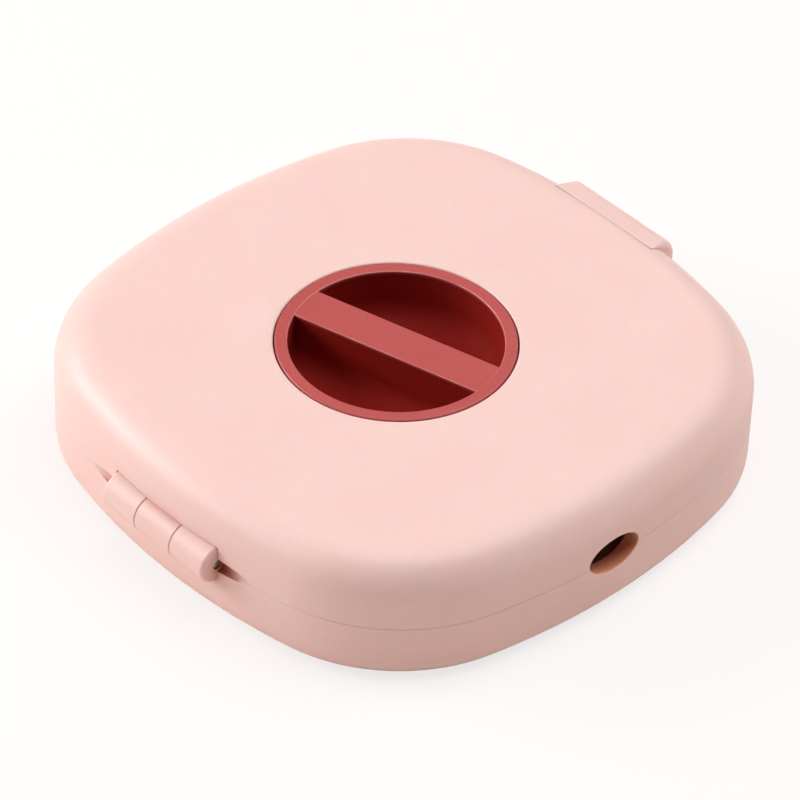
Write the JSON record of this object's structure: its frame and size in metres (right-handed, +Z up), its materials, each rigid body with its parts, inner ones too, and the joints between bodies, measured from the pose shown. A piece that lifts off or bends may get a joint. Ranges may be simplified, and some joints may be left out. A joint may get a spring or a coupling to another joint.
{
  "type": "hinged cable winder case",
  "caption": "Flat rounded-square case with a hinged lid, a hand-turned reel with a recessed finger grip, side cable outlets and a flip-up latch.",
  "frame": {"origin": "middle of the underside, on the surface that the case stands on", "axes": "+Z up through the lid, the hinge on the -Y side, the latch on the +Y side, the cable outlets on the +X and -X sides"},
  "size_m": [0.085, 0.0894, 0.0187],
  "materials": {
    "case_plastic": "fine matte moulded polypropylene, pale pink",
    "reel_plastic": "satin moulded plastic, dusty red",
    "pin_steel": "bright drawn wire"
  },
  "bodies": {
    "base": {"base_shell": "case_plastic", "hinge_pin": "pin_steel", "spindle_washer": "pin_steel", "spindle_screw": "pin_steel"},
    "lid": {"lid_shell": "case_plastic"},
    "latch": {"latch_clip": "case_plastic"},
    "reel": {"lower_flange": "reel_plastic", "reel_drum": "reel_plastic", "upper_flange": "reel_plastic", "knob_cup": "reel_plastic", "grip_bar": "reel_plastic"}
  },
  "joints": [
    {"name": "lid_hinge", "type": "hinge", "parent": "base", "child": "lid", "pos_m": [0, -0.0418, 0.0092], "axis": [1, 0, 0], "range_deg": [0, 120]},
    {"name": "latch_flip", "type": "hinge", "parent": "lid", "child": "latch", "pos_m": [-0.0012, 0.0391, 0.0173], "axis": [1, 0, 0], "range_deg": [0, 90]},
    {"name": "reel_spin", "type": "hinge", "parent": "base", "child": "reel", "pos_m": [0, -0.0016, 0.01], "axis": [0, 0, 1], "continuous": true}
  ]
}
